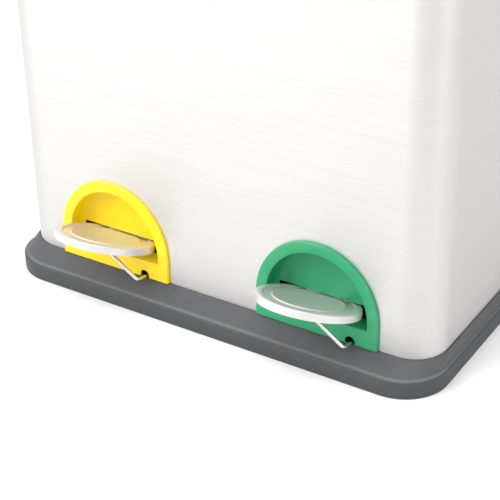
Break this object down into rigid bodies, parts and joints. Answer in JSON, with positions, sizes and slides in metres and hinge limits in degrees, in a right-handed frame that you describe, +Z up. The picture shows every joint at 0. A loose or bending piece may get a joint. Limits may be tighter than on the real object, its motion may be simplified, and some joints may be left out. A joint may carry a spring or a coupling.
{
  "type": "pedal recycling bin",
  "caption": "Rectangular brushed-steel recycling bin on a moulded tray, with paired lids and lift-out buckets, each lid opened by its own coloured pedal.",
  "frame": {"origin": "middle of the tray's flat underside, at floor level", "axes": "+X to the right seen from the front, +Y to the back, +Z up"},
  "size_m": [0.4176, 0.3633, 0.4686],
  "materials": {
    "body_steel": "brushed along the width, satin",
    "lid_steel": "brushed front to back, satin",
    "pedal_steel": "pressed and polished",
    "wire": "bright drawn wire",
    "tray_grey": "fine moulded grain",
    "black_plastic": "fine moulded grain",
    "bucket_plastic": "smooth moulded",
    "yellow_plastic": "semi gloss",
    "green_plastic": "semi gloss"
  },
  "bodies": {
    "bin": {"base_tray": "tray_grey", "body_wrap": "body_steel", "inner_deck": "black_plastic", "top_frame": "black_plastic", "pedal_surround_left": "yellow_plastic", "pedal_pin_left": "wire", "crank_saddle_front_left": "black_plastic", "crank_saddle_rear_left": "black_plastic", "rod_guide_left": "black_plastic", "lid_pin_left_1": "wire", "lid_pin_left_2": "wire", "bucket_left": "bucket_plastic", "pedal_surround_right": "green_plastic", "pedal_pin_right": "wire", "crank_saddle_front_right": "black_plastic", "crank_saddle_rear_right": "black_plastic", "rod_guide_right": "black_plastic", "lid_pin_right_1": "wire", "lid_pin_right_2": "wire", "bucket_right": "bucket_plastic"},
    "lid_left": {"lid_shell_left": "black_plastic", "lid_plate_left": "lid_steel"},
    "pedal_left": {"pedal_disc_left": "pedal_steel"},
    "crank_left": {"crank_wire_left": "wire"},
    "rod_left": {"push_rod_left": "wire"},
    "lid_right": {"lid_shell_right": "black_plastic", "lid_plate_right": "lid_steel"},
    "pedal_right": {"pedal_disc_right": "pedal_steel"},
    "crank_right": {"crank_wire_right": "wire"},
    "rod_right": {"push_rod_right": "wire"}
  },
  "joints": [
    {"name": "lid_left_open", "type": "hinge", "parent": "bin", "child": "lid_left", "pos_m": [-0.10065, 0.1415, 0.457], "axis": [-1, 0, 0], "range_deg": [0, 80]},
    {"name": "pedal_left_press", "type": "hinge", "parent": "bin", "child": "pedal_left", "pos_m": [-0.1, -0.1225, 0.0465], "axis": [1, 0, 0], "range_deg": [0, 20.4]},
    {"name": "crank_left_turn", "type": "hinge", "parent": "bin", "child": "crank_left", "pos_m": [-0.067, 0, 0.0268], "axis": [0, -1, 0], "range_deg": [0, 25]},
    {"name": "rod_left_lift", "type": "slide", "parent": "bin", "child": "rod_left", "axis": [0, 0, 1], "range_m": [0, 0.01472]},
    {"name": "lid_right_open", "type": "hinge", "parent": "bin", "child": "lid_right", "pos_m": [0.10065, 0.1415, 0.457], "axis": [-1, 0, 0], "range_deg": [0, 80]},
    {"name": "pedal_right_press", "type": "hinge", "parent": "bin", "child": "pedal_right", "pos_m": [0.1, -0.1225, 0.0465], "axis": [1, 0, 0], "range_deg": [0, 20.4]},
    {"name": "crank_right_turn", "type": "hinge", "parent": "bin", "child": "crank_right", "pos_m": [0.133, 0, 0.0268], "axis": [0, -1, 0], "range_deg": [0, 25]},
    {"name": "rod_right_lift", "type": "slide", "parent": "bin", "child": "rod_right", "axis": [0, 0, 1], "range_m": [0, 0.01472]}
  ],
  "couplings": [
    {"joint": "pedal_left_press", "follows": "lid_left_open", "ratio": 0.2549},
    {"joint": "crank_left_turn", "follows": "lid_left_open", "ratio": 0.3124},
    {"joint": "rod_left_lift", "follows": "lid_left_open", "m_per_rad": 0.01054},
    {"joint": "pedal_right_press", "follows": "lid_right_open", "ratio": 0.2549},
    {"joint": "crank_right_turn", "follows": "lid_right_open", "ratio": 0.3124},
    {"joint": "rod_right_lift", "follows": "lid_right_open", "m_per_rad": 0.01054}
  ]
}
